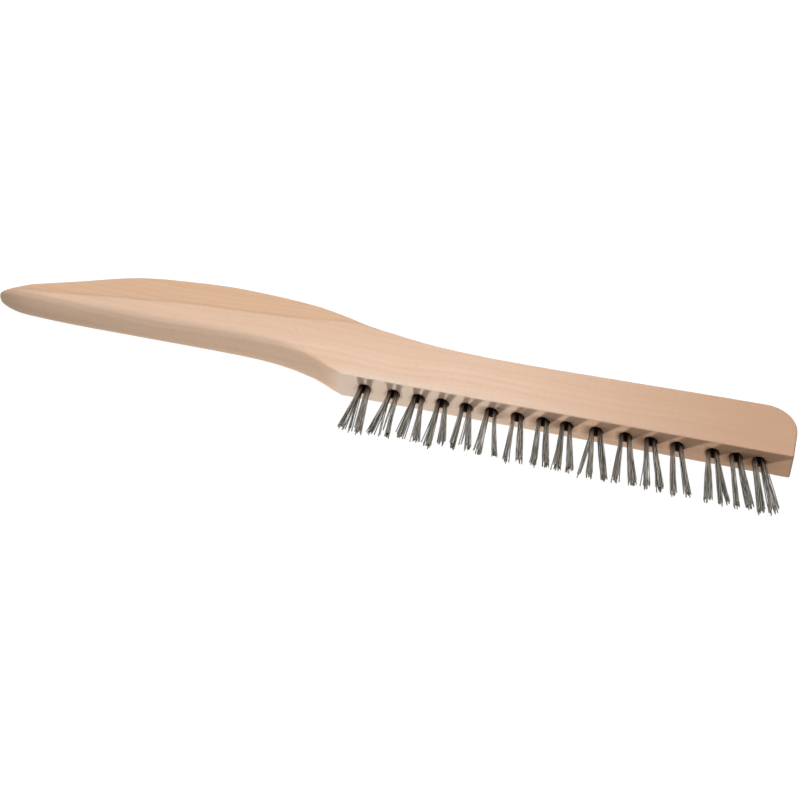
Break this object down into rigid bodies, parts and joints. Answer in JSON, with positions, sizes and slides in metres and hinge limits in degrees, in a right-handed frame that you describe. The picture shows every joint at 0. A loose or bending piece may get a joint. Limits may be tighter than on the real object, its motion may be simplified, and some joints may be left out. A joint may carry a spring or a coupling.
{
  "type": "wire scratch brush",
  "caption": "Narrow hand brush with a curved wooden handle and a single row of stapled steel-wire tufts for scrubbing metal.",
  "frame": {"origin": "middle of the whole brush's box on the surface it lies on, at the lower flat side of the wood", "axes": "+X along the brush from the handle's tip to the toe of the head, wires pointing to -Y and the curved back to +Y, +Z through the thickness of the wood, up from the surface"},
  "size_m": [0.254, 0.0524, 0.0095],
  "materials": {
    "handle_wood": "sanded bare beech",
    "tuft_wire": "drawn tempered steel wire",
    "staple_steel": "bright drawn wire"
  },
  "bodies": {
    "root": {"wood_handle_block": "handle_wood", "wire_tuft_01": "tuft_wire", "wire_tuft_02": "tuft_wire", "wire_tuft_03": "tuft_wire", "wire_tuft_04": "tuft_wire", "wire_tuft_05": "tuft_wire", "wire_tuft_06": "tuft_wire", "wire_tuft_07": "tuft_wire", "wire_tuft_08": "tuft_wire", "wire_tuft_09": "tuft_wire", "wire_tuft_10": "tuft_wire", "wire_tuft_11": "tuft_wire", "wire_tuft_12": "tuft_wire", "wire_tuft_13": "tuft_wire", "wire_tuft_14": "tuft_wire", "wire_tuft_15": "tuft_wire", "wire_tuft_16": "tuft_wire", "staple_01": "staple_steel", "staple_02": "staple_steel", "staple_03": "staple_steel", "staple_04": "staple_steel", "staple_05": "staple_steel", "staple_06": "staple_steel", "staple_07": "staple_steel", "staple_08": "staple_steel", "staple_09": "staple_steel", "staple_10": "staple_steel", "staple_11": "staple_steel", "staple_12": "staple_steel", "staple_13": "staple_steel", "staple_14": "staple_steel", "staple_15": "staple_steel", "staple_16": "staple_steel"}
  },
  "joints": []
}
